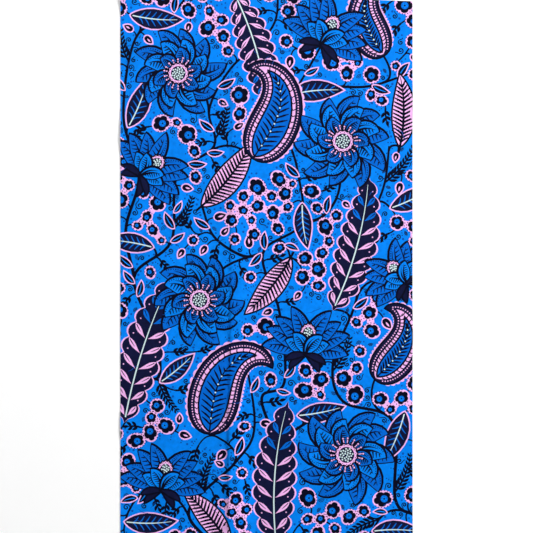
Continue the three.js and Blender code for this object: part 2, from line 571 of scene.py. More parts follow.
# %% a dark leaf with pale veins
def veined_leaf(x, y, length, angle, turn):
    """A small dark leaf in a pink border."""
    at = bending_line((x, y), angle, length, turn)
    width = leaf_width(length * 0.19, 0.85, 0.9)
    body = blade(at, width, points=12)
    mark("leaf", "pink", swollen(body, 2.2))
    mark("leaf", "line", body)
    mark("leaf", "indigo", swollen(body, -1.3))
    for s in np.linspace(0.16, 0.74, 6):
        for side in (1, -1):
            tip = at(s + 0.1, side * 0.72 * width(s + 0.1))
            path = [at(s), at(s + 0.06, side * 0.4 * width(s)), tip]
            mark("leaf", "petal_blue", stroke(path, 1.5, (1, 0.5)), fine=True)
    vein("leaf", "mint", at, 0.04, 0.9, 8, 1.5, (1, 0.3))
    clear_along(at, width, gap=5, count=8)


# %% the small motifs
HALO = 2.6


def berry_bloom(x, y, radius, angle, seed):
    """A little blossom of five joined petals: a pink halo edged with dots, and a blue eye."""
    vary = chance(seed)
    long_way = vary.uniform(1.0, 1.12)
    c, s = toward(angle)

    def put(r, t):
        u, v = r * long_way * np.cos(t), r / long_way * np.sin(t)
        return np.stack([x + c * u - s * v, y + s * u + c * v], axis=-1)

    mark("halo", "pink", put(radius + HALO, np.radians(np.arange(0, 360, 18))))
    turn = np.radians(np.arange(0, 360, 12))
    petals = 1.04 - 0.22 * (1 - np.abs(np.cos(2.5 * turn))) ** 1.7
    mark("berry_bloom", "line", put(radius * petals, turn))
    first = vary.uniform(20, 70)
    picots = int(radius * 1.1)
    for n in range(picots):
        t = math.radians(first + n * 230 / max(picots - 1, 1))
        mark("berry_bloom", "indigo", dot(put(radius + HALO - 0.4, t), 1.1, 5), fine=True)
    eye = put(radius * 0.16, math.radians(180 + vary.uniform(-60, 60)))
    mark("berry_bloom", "petal_blue", dot(eye, radius * 0.46, 12))
    for n in range(5):
        tip = eye + radius * 0.38 * toward(72 * n + angle)
        mark("berry_bloom", "azure", stroke([eye, tip], radius * 0.16, (1, 0.5)), fine=True)
    mark("berry_bloom", "line", dot(eye, radius * 0.13, 6), fine=True)


def bud(x, y, length, angle):
    """A closed bud: a dark drop with a pink split, held in two sepals."""
    at = bending_line((x, y), angle, length, 12)
    body = blade(at, leaf_width(length * 0.32, 0.8, 0.85), points=9)
    mark("halo", "pink", swollen(body, 2.3))
    mark("berry_bloom", "line", body)
    leaflet("berry_bloom", "pink", at(0.3), angle, length * 0.5, 12, length * 0.085)
    for side in (1, -1):
        heading = angle + side * 62
        leaflet("berry_bloom", "line", (x, y), heading, length * 0.5, -side * 60, length * 0.09)


def heading_at(at, s):
    """The way that a line runs at one share of it."""
    return bearing(at(s + 0.02) - at(s - 0.02))


def leaf_sprig(x, y, length, angle):
    """A twig's end with two pairs of little dark leaves and one at its tip."""
    at = bending_line((x, y), angle, length, 24)
    vein("wood", "line", at, 0, 1, 6, 2.4, (1, 0.5))
    for s, side in ((0.22, 1), (0.34, -1), (0.6, 1), (0.7, -1), (0.9, 0)):
        heading = heading_at(at, s) + side * 56
        leaflet("wood", "line", at(s), heading, length * 0.5, -side * 34, length * 0.115, 0.9, 7)


def stem_leaf(at, length):
    """A small dark leaf on the side of a stem."""
    body = blade(at, leaf_width(length * 0.19, 0.85, 0.85), points=9)
    mark("halo", "pink", swollen(body, 1.9))
    mark("berry_bloom", "line", body)
    vein("berry_bloom", "azure", at, 0.12, 0.82, 5, 1.3, (1, 0.4), fine=True)


def fern(at, length):
    """A fine sprig with paired leaflets that shorten towards its tip."""
    vein("wood", "line", at, 0, 1, 10, 2.4, (1, 0.4))
    steps = int(length / 7.0)
    for n in range(1, steps):
        s = n / steps
        length, half = 17 * (1 - 0.6 * s), 2.8 * (1 - 0.4 * s)
        for side in (1, -1):
            heading = heading_at(at, s) + side * 54
            leaflet("wood", "line", at(s), heading, length, -side * 34, half, 1.1)


TENDRIL_TURNS = 1.4
TENDRIL_TAIL = ((0.5, 0.12), (0.95, 0.5))  # on from the spiral and out from it, as shares of its size


def tendril(x, y, size, angle, curl):
    """A spiral round (x, y) that winds out and trails off in a short tail."""
    turns = np.linspace(0, 1, 20)
    radius = size * (0.14 + 0.86 * turns**1.15)
    way = math.radians(angle) + curl * math.tau * TENDRIL_TURNS * (turns - 1)
    coil = np.stack([x + radius * np.cos(way), y + radius * np.sin(way)], axis=1)
    out = toward(angle)
    along = curl * np.array([-out[1], out[0]])
    tail = [coil[-1] + along * size * on + out * size * off for on, off in TENDRIL_TAIL]
    mark("ground", "line", stroke(np.concatenate([coil, tail]), 1.6, (0.85, 0.6)), fine=True)


def dotted_arcs(x, y, size, angle):
    """Three short arcs of fine dots, one inside the other."""
    for share, count in ((0.35, 3), (0.68, 5), (1.0, 7)):
        for turn in np.linspace(-48, 48, count):
            spot = (x, y) + size * share * toward(angle + turn)
            mark("ground", "indigo", dot(spot, 0.9, 5), fine=True)

# %% [markdown]
# ## Where each motif goes
# The great motifs are laid out one by one, as a designer pins cut-outs to a board: each row says where one
# lies, how large it is, which way it points and how it bends. 0, 0 is the middle of the cloth. Pieces of
# the design run off its edges, because the printer's repeat is larger than one cut.

# %% the great motifs, laid out one by one
GREAT_MOTIFS = {
    # x, y, size, angle, then how it bends, or for a bloom or a cup the seed of its petals
    round_bloom: (
        (-148, 322, 72, 10, 1), (128, 208, 76, 40, 2), (-112, -58, 76, 0, 3), (134, -318, 78, 25, 4),
    ),
    lotus_cup: (
        (92, 370, 86, 62, 5), (-212, 150, 80, 38, 6), (66, -150, 84, 84, 7), (-176, -378, 82, 80, 8),
        (236, -30, 76, 132, 9),
    ),
    paisley: (
        (-22, 180, 200, 78, 1), (-96, -282, 205, 62, -1), (182, -190, 160, 66, 1), (196, 352, 150, 100, -1),
    ),
    drop_leaf: (
        (-52, 452, 200, -64, -20), (-238, -262, 250, 80, -16), (18, -480, 250, 98, -24),
        (112, -74, 230, 64, 22),
    ),
    ribbed_leaf: (
        (-108, 100, 135, 40, 24), (40, 12, 120, -118, -22), (-62, -470, 120, 120, 20),
        (224, 200, 120, 78, 24),
    ),
    veined_leaf: (
        (-232, 232, 90, 60, 16), (40, 286, 90, 14, -18), (-190, 30, 81, 164, 14), (208, 96, 85, 18, 18),
        (232, -246, 90, -104, -16), (-178, -196, 73, 34, 12), (52, -252, 81, 4, 14),
        (-238, -430, 88, -8, 18), (-228, 420, 88, -14, 18), (60, 104, 76, -92, 18), (178, -446, 81, 8, -16),
    ),
}
for kind, rows in GREAT_MOTIFS.items():
    for row in rows:
        kind(*row)
    print(kind.__name__, len(rows))

# %% [markdown]
# ## Stems, twigs and what grows on them
# A few long stems are drawn through the gaps between the great motifs. Ferns and small leaves
# grow beside them wherever there is room, and bunches of blossoms fill the larger gaps. A twig leaves the
# nearest wood for each blossom the way a real one does, first along its parent and then over. It is wood
# as well, so the bunches branch by themselves and no blossom hangs loose.

# %% the long stems
STEM_THICK, STEM_THIN = 5.6, 3.6
STEMS = (
    (
        (48, -470), (-4, -392), (12, -300), (-8, -222), (30, -196), (22, -80), (-6, 20), (58, 70),
        (52, 160), (30, 250), (70, 330),
    ),
    (
        (-250, -160), (-184, -190), (-186, -120), (-222, -20), (-160, 40), (-150, 150), (-88, 200),
        (-96, 262), (-60, 330), (10, 400), (20, 470),
    ),
    ((-90, -470), (-130, -410), (-52, -330), (-20, -268), (-40, -130)),
    (
        (250, -420), (216, -392), (212, -262), (128, -228), (112, -160), (150, -60), (160, 40),
        (196, 130), (206, 200),
    ),
    ((12, -300), (70, -262), (110, -236)),
    ((-222, -20), (-236, 60), (-214, 150), (-240, 250), (-220, 380), (-160, 420), (-120, 470)),
    ((-6, 20), (-40, 16), (-88, 48), (-108, 98)),
    ((58, 70), (94, 82), (120, 120), (128, 190)),
    ((30, 250), (84, 296), (170, 300), (236, 320)),
)
wood = []  # rows of x, y and the way that the wood grows


def grow(line, thick, thin, clear):
    """Draws a stem or twig along a line and notes it as wood."""
    run = unit(np.gradient(line, axis=0))
    half = np.linspace(thick, thin, len(line))[:, None] / 2
    side = np.stack([-run[:, 1], run[:, 0]], axis=1) * half
    mark("wood", "line", np.concatenate([line + side, (line - side)[::-1]]))
    for spot, way in zip(line[1:-1], run[1:-1]):
        wood.append((*spot, *way))
        keep_clear(*spot, clear)
    return run[-1]


for points in STEMS:
    grow(smooth_line(points), STEM_THICK, STEM_THIN, STEM_THICK / 2)
print("long stems:", len(STEMS))

# %% a twig from the nearest wood
TOO_NEAR = 9  # millimetres; wood this near counts as far away, so that no twig is a stub
AS_IF_AWAY = 60
TURNING_BACK = 0.55  # how much dearer wood is that grows sideways or away from the place
MOTIF_TWIG, BLOSSOM_TWIG, END_TWIG = (4.2, 3.4), (3.0, 2.3), (2.9, 2.3)  # millimetres thick and thin


def twig_to(x, y, thick, thin):
    """Joins a place to the nearest wood that grows towards it, and returns the way it arrives."""
    grown = np.array(wood)
    reach = np.array([x, y]) - grown[:, :2]
    away = np.hypot(*reach.T)
    ahead = (reach * grown[:, 2:]).sum(axis=1) / np.maximum(away, 1e-6)
    cost = away * (1 + TURNING_BACK - TURNING_BACK * ahead) + np.where(away < TOO_NEAR, AS_IF_AWAY, 0)
    n = int(cost.argmin())
    start, way, span = grown[n, :2], grown[n, 2:], away[n]
    bend = start + way * span * 0.6
    t = np.linspace(0, 1, 9)[:, None]
    line = (1 - t) ** 2 * start + 2 * (1 - t) * t * bend + t**2 * np.array([x, y])
    return grow(line, thick, thin, 1.2)


for rows in GREAT_MOTIFS.values():
    for x, y, *_ in rows:
        twig_to(x, y, *MOTIF_TWIG)
print("wood, points:", len(wood))

# %% ferns and small leaves beside the stems
vary = chance(5)


def beside_stems(every, lean, lengths, turn, room, shares, draw):
    """Draws one small thing at every so many points of the stems where there is room for it."""
    drawn = 0
    for n, (x, y, way_x, way_y) in enumerate(np.array(wood)[::every]):
        side = 1 if n % 2 else -1
        length = vary.uniform(*lengths)
        at = bending_line((x, y), bearing((way_x, way_y)) + side * lean, length, side * -turn)
        if all(room_at(*at(s)) > room for s in shares):
            draw(at, length)
            for s in np.linspace(0.15, 1, 8):
                keep_clear(*at(s), room - 1.5)
            drawn += 1
    return drawn


ferns = beside_stems(3, 42, (58, 84), turn=34, room=9.0, shares=(0.35, 0.6, 0.8, 1.0), draw=fern)
leaves = beside_stems(2, 50, (20, 30), turn=30, room=6.0, shares=(0.5, 0.75, 1.0), draw=stem_leaf)
print("ferns:", ferns, "stem leaves:", leaves)

# %% bunches of berry blossoms
BERRY_SIZES = (8.0, 14.5)
BUNCHES = 30
BUNCH_GAP = 58.0  # how far apart the first bunches are; later ones come closer
BUNCH_REACH = 48
SINGLE_SIZES = (7, 11)
SINGLES = 30
berries = []


def set_berry(x, y, radius, gap):
    berries.append((x, y, radius))
    keep_clear(x, y, radius + HALO + gap)


vary = chance(21)
bunch_middles = []
for n in range(BUNCHES):
    open_places = places_with_room(BERRY_SIZES[0] + HALO + 2)
    if bunch_middles:
        middles = np.array(bunch_middles)
        apart = np.hypot(*(open_places[:, None] - middles[None]).transpose(2, 0, 1)).min(axis=1)
        open_places = open_places[apart > BUNCH_GAP * (1 - n / BUNCHES / 1.6)]
    if not len(open_places):
        break
    middle = open_places[vary.integers(len(open_places))]
    bunch_middles.append(middle)
    loose = vary.uniform(-1.2, 4.0)
    for k in range(vary.integers(4, 9)):
        radius = vary.uniform(*BERRY_SIZES) * (1 - 0.05 * k)
        places = places_with_room(radius + HALO - 0.6)
        if len(places):
            away = np.hypot(*(places - middle).T)
            if away.min() < BUNCH_REACH:
                set_berry(*places[away.argmin()] + vary.uniform(-0.6, 0.6, 2), radius, loose)
for _ in range(SINGLES):
    radius = vary.uniform(*SINGLE_SIZES)
    places = places_with_room(radius + HALO + 4)
    if len(places):
        set_berry(*places[vary.integers(len(places))], radius, 2.0)
print("berry blossoms:", len(berries))

# %% a twig to each blossom
first_wood = np.array(wood)[:, :2]
by_distance = sorted(berries, key=lambda b: np.hypot(*(first_wood - b[:2]).T).min())
for n, (x, y, radius) in enumerate(by_distance):
    way = twig_to(x, y, *BLOSSOM_TWIG)
    berry_bloom(x, y, radius, bearing(way), seed=100 + n)

# %% pink between neighbours
PINK_BRIDGE = 9  # the widest gap that pink fills, and how wide it is

for n, (x, y, radius) in enumerate(berries):
    for u, v, other in berries[n + 1 :]:
        gap = math.hypot(u - x, v - y) - radius - other
        if gap < PINK_BRIDGE:
            path = [(x, y), ((x + u) / 2, (y + v) / 2), (u, v)]
            mark("halo", "pink", stroke(path, PINK_BRIDGE, (1, 1)))

# %% scattering small things over free ground
def scatter(most, room, draw):
    """Draws up to so many things where there is this much room, until the ground is full."""
    for n in range(most):
        places = places_with_room(room)
        if not len(places):
            return n
        draw(n, *places[vary.integers(len(places))])
    return most


# %% buds and sprigs where a blossom has no room
TWIG_ENDS, TWIG_END_ROOM = 78, 8.4


def twig_end(n, x, y):
    way = twig_to(x, y, *END_TWIG)
    if n % 3:
        leaf_sprig(x - way[0] * 6, y - way[1] * 6, vary.uniform(20, 25), bearing(way))
        keep_clear(x + way[0] * 4, y + way[1] * 4, 12)
    else:
        bud(x, y, vary.uniform(14, 20), bearing(way))
        keep_clear(x + way[0] * 8, y + way[1] * 8, 12)


print("buds and sprigs:", scatter(TWIG_ENDS, TWIG_END_ROOM, twig_end))

# %% tendrils, dotted arcs and specks in what is left of the ground
CURLS, CURL_ROOM = 340, 4.7
SPECKS, SPECK_ROOM = 420, 2.7


def curl_or_arcs(n, x, y):
    size = min(room_at(x, y) - 0.8, vary.uniform(4.6, 7.0))
    if n % 4 == 0:
        dotted_arcs(x, y, size + 1, vary.uniform(0, 360))
    else:
        tendril(x, y, size, vary.uniform(0, 360), 1 if n % 2 else -1)
    keep_clear(x, y, size + 1.5)


def speck(n, x, y):
    mark("ground", "deep_blue", dot((x, y), vary.uniform(1.4, 2.2), 8), fine=True)
    keep_clear(x, y, 3.4)


print("tendrils and arcs:", scatter(CURLS, CURL_ROOM, curl_or_arcs))
print("specks:", scatter(SPECKS, SPECK_ROOM, speck))

# %% crackle
CRACKS = 70
vary = chance(8)
for n in range(CRACKS):
    spot = vary.uniform((LEFT_MM, BOTTOM_MM), (RIGHT_MM, TOP_MM))
    path = [spot]
    heading = vary.uniform(-35, 35) + 180 * (n % 2)
    for _ in range(vary.integers(3, 7)):
        heading += vary.uniform(-38, 38)
        path.append(path[-1] + toward(heading) * vary.uniform(2.5, 6))
    mark("crackle", "deep_blue", stroke(path, vary.uniform(0.5, 0.85), (0.4, 0.4)), fine=True)
print("cracks:", CRACKS, "marks in all:", len(marks))

# %% [markdown]
# ## From marks to cloth
# The marks overlap, as layers of print do, but each spot of cloth shows one dye. Blender's constrained
# triangulation cuts the plane along every outline at once and says for each triangle which outlines it
# lies in, and the topmost gives it its dye. Most of those cuts are hidden, so only the borders between two
# dyes are kept, with fewer points where they are straight, and the plane is triangulated again from them.

# %% cutting the plane along the marks
CDT_SNAP = 1e-3  # millimetres; points closer than this become one
CDT_INSIDE = 1  # the triangulation's mode that keeps only what lies inside the outlines


def top_dye(marks_kept, corners):
    """Triangles of the flat cloth and the dye on top of each, before any hidden cut is removed."""
    points, outlines, dyes = [], [], []
    for dye, outline in [("azure", corners)] + marks_kept:
        ring = outline if anticlockwise(outline) else outline[::-1]
        outlines.append(list(range(len(points), len(points) + len(ring))))
        points.extend(Vector(p) for p in ring)
        dyes.append(list(DYES).index(dye))
    verts, _, faces, _, _, sources = geometry.delaunay_2d_cdt(points, [], outlines, CDT_INSIDE, CDT_SNAP)
    on_cloth_faces = [n for n, s in enumerate(sources) if 0 in s]
    faces = np.array([faces[n] for n in on_cloth_faces])
    dye = np.array([dyes[max(sources[n])] for n in on_cloth_faces])
    return np.array([tuple(v) for v in verts]), faces, dye


# %% the borders between dyes
def dye_borders(faces, dye):
    """The edges where the dye changes, or the cloth ends."""
    edges = np.sort(np.concatenate([faces[:, [0, 1]], faces[:, [1, 2]], faces[:, [2, 0]]]), axis=1)
    owner = np.tile(dye, 3)
    order = np.lexsort((edges[:, 1], edges[:, 0]))
    edges, owner = edges[order], owner[order]
    twin = (edges[1:] == edges[:-1]).all(axis=1)
    paired = np.zeros(len(edges), bool)
    paired[:-1] |= twin
    paired[1:] |= twin
    first = np.nonzero(twin)[0]
    changes = first[owner[first] != owner[first + 1]]
    return np.concatenate([edges[changes], edges[~paired]])


# %% fewer points on the straight stretches
LONGEST_EDGE = 30  # millimetres; no stretch of border becomes longer, so that the cloth can bend


def thinned_borders(points, edges, thinning):
    """Takes out the points of a border that lie this close to the straight line past them."""
    beside = {}
    for a, b in edges:
        beside.setdefault(int(a), set()).add(int(b))
        beside.setdefault(int(b), set()).add(int(a))
    for tolerance in (thinning * 0.2, thinning * 0.6, thinning):
        for p in list(beside):
            near = beside.get(p)
            if near is None or len(near) != 2:
                continue
            a, b = near
            if b in beside[a]:
                continue
            span = points[b] - points[a]
            length = math.hypot(*span)
            reach = points[p] - points[a]
            off = abs(span[0] * reach[1] - span[1] * reach[0]) / max(length, 1e-9)
            if off < tolerance and length < LONGEST_EDGE:
                beside[a].discard(p)
                beside[b].discard(p)
                beside[a].add(b)
                beside[b].add(a)
                del beside[p]
    return sorted({(min(a, b), max(a, b)) for a in beside for b in beside[a]})
# %% the print as flat faces
def top_edge(x):
    """How far up the slanted top edge is at x."""
    return TOP_MM - TOP_SLANT * (x - LEFT_MM) / CUT_WIDTH


def flat_print(with_fine, thinning, grid):
    """The cloth as flat triangles with a dye each, and a grid of extra points so that it can bend."""
    kept = []
    for _, dye, outline, fine in sorted(marks, key=lambda row: row[0]):
        low_x, low_y = outline.min(axis=0)
        high_x, high_y = outline.max(axis=0)
        shows = high_x > LEFT_MM and low_x < RIGHT_MM and high_y > BOTTOM_MM and low_y < TOP_MM
        if shows and (with_fine or not fine):
            kept.append((dye, outline))
    cut_points, cut_faces, cut_dye = top_dye(kept, CORNERS)
    edges = thinned_borders(cut_points, dye_borders(cut_faces, cut_dye), thinning)

    used = sorted({p for edge in edges for p in edge})
    place = {p: n for n, p in enumerate(used)}
    points = [Vector(cut_points[p]) for p in used]
    points += [Vector(spot) for spot in grid]
    borders = [(place[a], place[b]) for a, b in edges]
    verts, _, faces, _, _, _ = geometry.delaunay_2d_cdt(points, borders, [], CDT_INSIDE, CDT_SNAP)
    verts = np.array([tuple(v) for v in verts])
    faces = np.array(faces)

    # The dye of a new triangle is the dye of the old one under its middle.
    tree = BVHTree.FromPolygons([(x, y, 0.0) for x, y in cut_points], cut_faces.tolist())
    middles = verts[faces].mean(axis=1)
    down = Vector((0, 0, -1))
    dye = np.array([cut_dye[tree.ray_cast(Vector((x, y, 1.0)), down)[2] or 0] for x, y in middles])
    return verts, faces, dye


# %% [markdown]
# ## Folds, and how thick cotton is
# Cotton that has lain on a bolt keeps the mark of its fold: the cloth climbs softly from the left, turns
# over a narrow sharp edge and sinks away on the right, most of all near its bottom end. The cut edges and
# corners lift by one to three millimetres. Each fold is one row: a line on the plan, how far the cloth
# rises to either side of it, and how high it stands at both ends. A cloth simulation would find other
# folds each time, so these are given where the solid has them.

# %% the folds
BOLT_CREASE = (
    # x, y, to x, to y, rise at the first end, rise at the last
    (-63, BOTTOM_MM, -62.5, -300, 3.3, 3.1),
    (-62.5, -300, -59, -90, 3.1, 2.2),
    (-59, -90, -56, TOP_MM, 2.2, 0.5),
)
CREASE_LEFT, CREASE_EDGE, CREASE_RIGHT = 26.0, 5.2, 50.0  # how far each part of it reaches
EDGE_SHARE = 0.7  # how much of the rise its sharp edge takes
FOLDS = (
    # x, y, to x, to y, reach, rise at the first end, rise at the last
    (34, BOTTOM_MM, 22, -318, 66, 2.4, 0),
    (LEFT_MM, 214, -158, 199, 40, 1.2, 0),
    (LEFT_MM, -268, -176, -281, 36, 0.9, 0),
    (RIGHT_MM, 288, 171, 268, 38, 1.9, 0),
    (RIGHT_MM, -112, 148, -130, 46, 2.6, 0),
    (62, 456, 74, 377, 42, 2.1, 0),
    (LEFT_MM, TOP_MM, -212, 425, 34, 3.1, 0),
    (RIGHT_MM, BOTTOM_MM, 207, -424, 34, 2.7, 0),
)
RIPPLE = 0.22  # the finest unevenness of cloth that only lies on a table
THICKNESS = 0.42  # millimetres


def swell(share):
    """A soft climb from 0 to 1."""
    return 0.5 - 0.5 * np.cos(np.pi * np.clip(share, 0, 1))


def over_fold(x, y, row):
    """How high one fold lifts the cloth at (x, y)."""
    x0, y0, x1, y1, reach, first, last = row
    span = np.array([x1 - x0, y1 - y0], float)
    share = np.clip(((x - x0) * span[0] + (y - y0) * span[1]) / (span @ span), 0, 1)
    away = np.hypot(x - x0 - share * span[0], y - y0 - share * span[1])
    return (first + (last - first) * share) * (1 - swell(away / reach))


def over_crease(x, y):
    """How high the crease of the bolt lifts the cloth at (x, y)."""
    rows = np.array(BOLT_CREASE)
    knots = np.append(rows[:, 1], rows[-1, 3])
    crest = np.interp(y, knots, np.append(rows[:, 0], rows[-1, 2]))
    rise = np.interp(y, knots, np.append(rows[:, 4], rows[-1, 5]))
    right = x - crest
    soft, sharp = swell(1 + right / CREASE_LEFT), swell(1 + right / CREASE_EDGE)
    climb = (1 - EDGE_SHARE) * soft + EDGE_SHARE * sharp
    return rise * np.where(right < 0, climb, 1 - swell(right / CREASE_RIGHT))


def height(x, y):
    """How far the underside stands off the table, in millimetres."""
    lift = np.maximum(over_crease(x, y), np.max([over_fold(x, y, row) for row in FOLDS], axis=0))
    waves = np.sin(x / 31 + 1.3 * np.sin(y / 74)) * np.sin(y / 47 + 0.9 * np.sin(x / 58))
    return lift + RIPPLE * (0.5 + 0.5 * waves)


# %% the grid that lets the cloth bend
CREASE_COLUMNS = (-14, -5.2, -4.2, -3.2, -2, -1, 0, 5, 15)  # lines of points beside the crease's crest
GRID_MARGIN = 1  # millimetres that the grid keeps from the cut edges


def bending_grid(step):
    """Points on an even grid, and closer ones along the crease."""
    x = np.arange(LEFT_MM + step, RIGHT_MM, step)
    y = np.arange(BOTTOM_MM + step, TOP_MM, step)
    grid = [(u, v) for u in x for v in y]
    for x0, y0, x1, y1, *_ in BOLT_CREASE:
        for out in CREASE_COLUMNS:
            for v in np.arange(y0 + 4, y1, step):
                grid.append((x0 + (x1 - x0) * (v - y0) / (y1 - y0) + out, v))
    left, right = LEFT_MM + GRID_MARGIN, RIGHT_MM - GRID_MARGIN
    return [(u, v) for u, v in grid if left < u < right and v < top_edge(u) - GRID_MARGIN]


# %% [markdown]
# ## One closed shell
# The upper face carries the whole print. The underside shows it too, because wax print is dyed through,
# but without the finest dots and hatching. A narrow strip round the cut edge sews the two together, so
# the cloth is one closed skin less than half a millimetre thick.

# %% both faces
UPPER_THINNING, UPPER_STEP = 0.06, 10.0  # millimetres
UNDER_THINNING, UNDER_STEP = 0.25, 24.0
upper_points, upper_faces, upper_dye = flat_print(True, UPPER_THINNING, bending_grid(UPPER_STEP))
under_points, under_faces, under_dye = flat_print(False, UNDER_THINNING, bending_grid(UNDER_STEP))
print("upper face:", len(upper_faces), "triangles; underside:", len(under_faces))

# %% the strip round the cut edge
def facing_up(points, faces):
    """The faces with their corners anticlockwise, as seen from above."""
    a, b, c = (points[faces[:, k]] for k in range(3))
    turned = (b - a)[:, 0] * (c - a)[:, 1] - (b - a)[:, 1] * (c - a)[:, 0] < 0
    faces = faces.copy()
    faces[turned] = faces[turned][:, ::-1]
    return faces


def rim_of(points, faces, dye):
    """The points round a flat mesh, anticlockwise, the dye after each, and its share of the way round."""
    edges = np.concatenate([faces[:, [0, 1]], faces[:, [1, 2]], faces[:, [2, 0]]])
    known = {(int(a), int(b)): int(d) for (a, b), d in zip(edges, np.tile(dye, 3))}
    after = {a: b for a, b in known if (b, a) not in known}
    ring = [min(after, key=lambda p: points[p][0] + points[p][1])]
    while after[ring[-1]] != ring[0]:
        ring.append(after[ring[-1]])
    dyes = [known[p, after[p]] for p in ring]
    along = run_along(points[ring + ring[:1]])
    return ring, dyes, along / along[-1]


upper_faces = facing_up(upper_points, upper_faces)
under_faces = facing_up(under_points, under_faces)
upper_ring, edge_dyes, upper_at = rim_of(upper_points, upper_faces, upper_dye)
under_ring, _, under_at = rim_of(under_points, under_faces, under_dye)
under_ring = [p + len(upper_points) for p in under_ring]

# Each step closes a triangle with whichever of the two rings lags behind.
strip, strip_dye = [], []
i, j = 0, 0
while i < len(upper_ring) or j < len(under_ring):
    here = upper_ring[i % len(upper_ring)], under_ring[j % len(under_ring)]
    upper_next = j == len(under_ring) or (i < len(upper_ring) and upper_at[i + 1] <= under_at[j + 1])
    if upper_next:
        strip.append((here[1], upper_ring[(i + 1) % len(upper_ring)], here[0]))
    else:
        strip.append((here[1], under_ring[(j + 1) % len(under_ring)], here[0]))
    strip_dye.append(edge_dyes[min(i, len(edge_dyes) - 1)])
    i, j = (i + 1, j) if upper_next else (i, j + 1)
print("round the edge:", len(upper_ring), "and", len(under_ring), "points;", len(strip), "triangles")

# %% the cloth
flat_points = np.concatenate([upper_points, under_points])
rise = height(*flat_points.T)
rise[: len(upper_points)] += THICKNESS
cloth_points = np.column_stack([flat_points, rise]) * MM
cloth_faces = np.concatenate([upper_faces, under_faces[:, ::-1] + len(upper_points), np.array(strip)])
cloth_dye = np.concatenate([upper_dye, under_dye, strip_dye])

cloth_mesh = bpy.data.meshes.new("cloth")
cloth_mesh.from_pydata(cloth_points.tolist(), [], cloth_faces.tolist())
cloth = bpy.data.objects.new("cloth", cloth_mesh)
bpy.context.scene.collection.objects.link(cloth)
print("cloth:", len(cloth_mesh.polygons), "triangles")

# %% [markdown]
# ## Smooth light over uneven faces
# The print cuts the cloth into long thin triangles, and Blender's own smoothing would show them as faint
# streaks. The true slope is known from the height of the folds, so every corner is given that slope as
# its normal. The edge strip keeps its own, so the cut edge stays crisp.

# %% the normals
SLOPE_STEP = 0.25
x, y = flat_points.T
slope_x = (height(x + SLOPE_STEP, y) - height(x - SLOPE_STEP, y)) / (2 * SLOPE_STEP)
slope_y = (height(x, y + SLOPE_STEP) - height(x, y - SLOPE_STEP)) / (2 * SLOPE_STEP)
normals = np.column_stack([-slope_x, -slope_y, np.ones(len(x))])
normals[len(upper_points) :] *= -1
corner_normals = unit(normals)[cloth_faces.ravel()]
a, b, c = cloth_points[np.array(strip)].transpose(1, 0, 2) / MM
corner_normals[-3 * len(strip) :] = np.repeat(unit(np.cross(b - a, c - a)), 3, axis=0)
cloth_mesh.shade_smooth()
cloth_mesh.normals_split_custom_set(corner_normals.tolist())

# %% [markdown]
# ## Waxed cotton, dyed
# Under the print is a plain weave: threads a third of a millimetre apart go over and under each other. The
# finish is starch and wax pressed in by hot rollers, so the cloth has a low broad sheen instead of a
# shine. Two crossed waves raise the threads a little, and cloudy noise makes the dye a touch uneven and
# the finish smoother here and duller there.

# %% from screen steps to light
def as_light(steps):
    """A colour in screen steps as the linear amounts that a shader takes."""
    share = np.array(steps) / 255
    return tuple(np.where(share <= 0.04045, share / 12.92, ((share + 0.055) / 1.055) ** 2.4))


# %% small node helpers
def add(tree, kind, x, y, settings, **inputs):
    """A new node at (x, y) with its settings, and with its inputs set or linked."""
    node = tree.nodes.new(kind)
    node.location = (x, y)
    for name, value in settings.items():
        setattr(node, name, value)
    connect(tree, node, inputs)
    return node


def connect(tree, node, inputs):
    """Sets the inputs of a node to values, or links them from another node's output."""
    for name, value in inputs.items():
        socket = node.inputs[name.replace("_", " ")]
        if isinstance(value, bpy.types.NodeSocket):
            tree.links.new(value, socket)
        else:
            socket.default_value = value


def clouds(tree, place, scale, detail, x, y):
    """Soft noise; a higher scale has smaller clouds."""
    noise = add(tree, "ShaderNodeTexNoise", x, y, {}, Vector=place, Scale=scale, Detail=detail)
    return noise.outputs["Fac"]


def product(tree, first, second, x, y):
    both = add(tree, "ShaderNodeMath", x, y, {"operation": "MULTIPLY"})
    tree.links.new(first, both.inputs[0])
    tree.links.new(second, both.inputs[1])
    return both.outputs["Value"]


# %% the weave
THREAD = 0.00034  # metres from one thread to the next
WAVES_PER_METRE = 20 / math.tau  # how many bands Blender's wave texture puts in a metre at scale 1
WAVE = {"Scale": 1 / (THREAD * WAVES_PER_METRE), "Distortion": 0.4, "Detail_Scale": 2.0}


def weave(tree, place):
    """Crossed threads: a height from 0 in the pits to 1 on the threads."""
    threads = []
    for direction, y in (("X", -200), ("Y", -460)):
        wave = add(tree, "ShaderNodeTexWave", -900, y, {"bands_direction": direction}, Vector=place, **WAVE)
        threads.append(wave.outputs["Fac"])
    return product(tree, *threads, -700, -300)


# %% the finish
LIT_BY = 1.17  # how brightly the lamps light the cloth, so a dye is mixed that much darker than it looks
GLOSS = 0.045  # a pressed wax finish mirrors far less than a varnish
SHEEN = 0.012
ROUGH = {"From_Min": 0.3, "From_Max": 0.7, "To_Min": 0.52, "To_Max": 0.68}
BUMP = {"Strength": 0.2, "Distance": 0.00008}
BROAD_CLOUDS, FINE_CLOUDS = (16.0, 3.0), (130.0, 2.0)  # scale, detail
TINT_SPAN = (0.12, 0.4)  # the darkest and the lightest clouds


